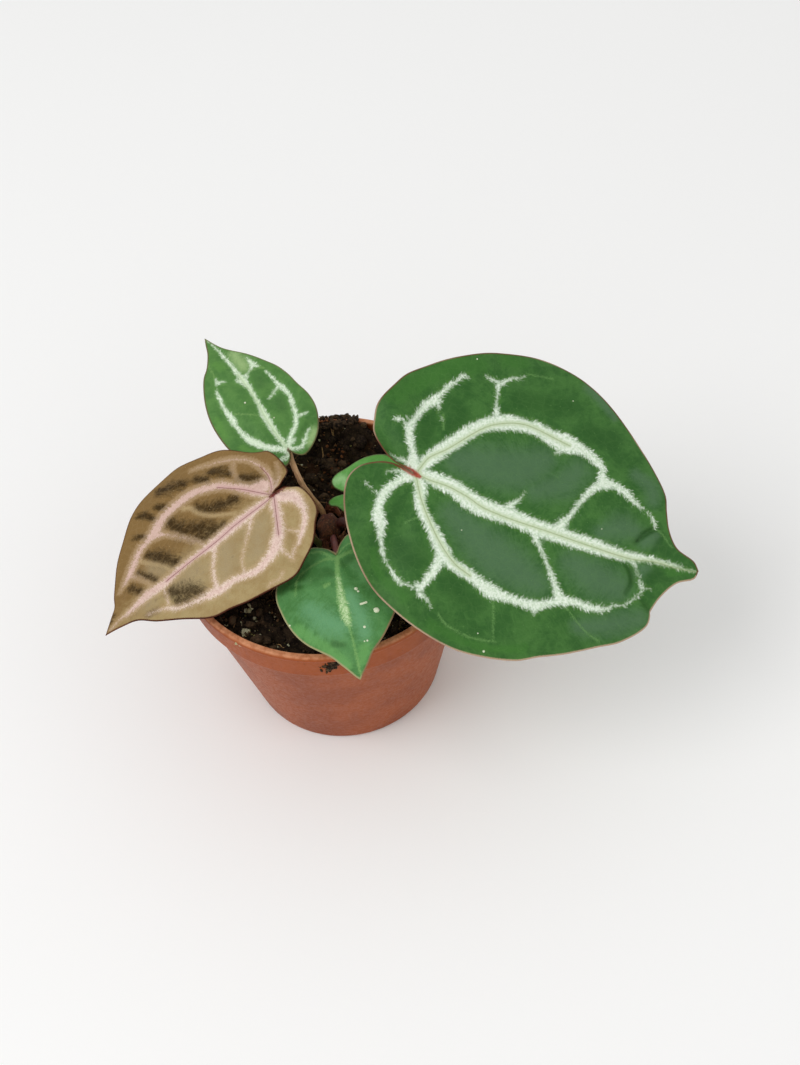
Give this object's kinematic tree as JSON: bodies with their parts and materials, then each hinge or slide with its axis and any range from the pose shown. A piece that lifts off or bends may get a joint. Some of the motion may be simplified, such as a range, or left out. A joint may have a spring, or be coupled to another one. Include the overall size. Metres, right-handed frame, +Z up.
{
  "type": "potted crystal anthurium",
  "caption": "Young velvet-leaved anthurium with silver-veined heart-shaped leaves on thin stalks, in a terracotta-coloured plastic nursery pot of dark peat.",
  "frame": {"origin": "centre of the pot's foot, on the surface that it stands on", "axes": "+Z up the pot's axis; -Y towards the front, from which the plant is seen; +X to the right, where the largest leaf reaches out"},
  "size_m": [0.1704, 0.1181, 0.1115],
  "materials": {
    "pot_plastic": "satin",
    "peat": "matte",
    "dry_sheath": "matte",
    "dark_leaf": "satin",
    "bronze_leaf": "satin",
    "mid_leaf": "satin",
    "blue_green_leaf": "satin",
    "young_leaf": "satin",
    "silver_vein": "satin",
    "pink_vein": "satin",
    "pale_green_vein": "satin",
    "red_stalk": "satin",
    "green_stalk": "satin",
    "tan_stalk": "satin"
  },
  "bodies": {
    "root": {"pot": "pot_plastic", "soil": "peat", "crown": "dry_sheath", "large_leaf_blade": "dark_leaf", "large_leaf_veins": "silver_vein", "large_leaf_stalk": "red_stalk", "bronze_leaf_blade": "bronze_leaf", "bronze_leaf_veins": "pink_vein", "bronze_leaf_stalk": "green_stalk", "upper_leaf_blade": "mid_leaf", "upper_leaf_veins": "silver_vein", "upper_leaf_stalk": "tan_stalk", "lower_leaf_blade": "blue_green_leaf", "lower_leaf_veins": "pale_green_vein", "lower_leaf_stalk": "red_stalk", "young_leaf_blade": "young_leaf", "young_leaf_veins": "pale_green_vein", "young_leaf_stalk": "tan_stalk"}
  },
  "joints": []
}
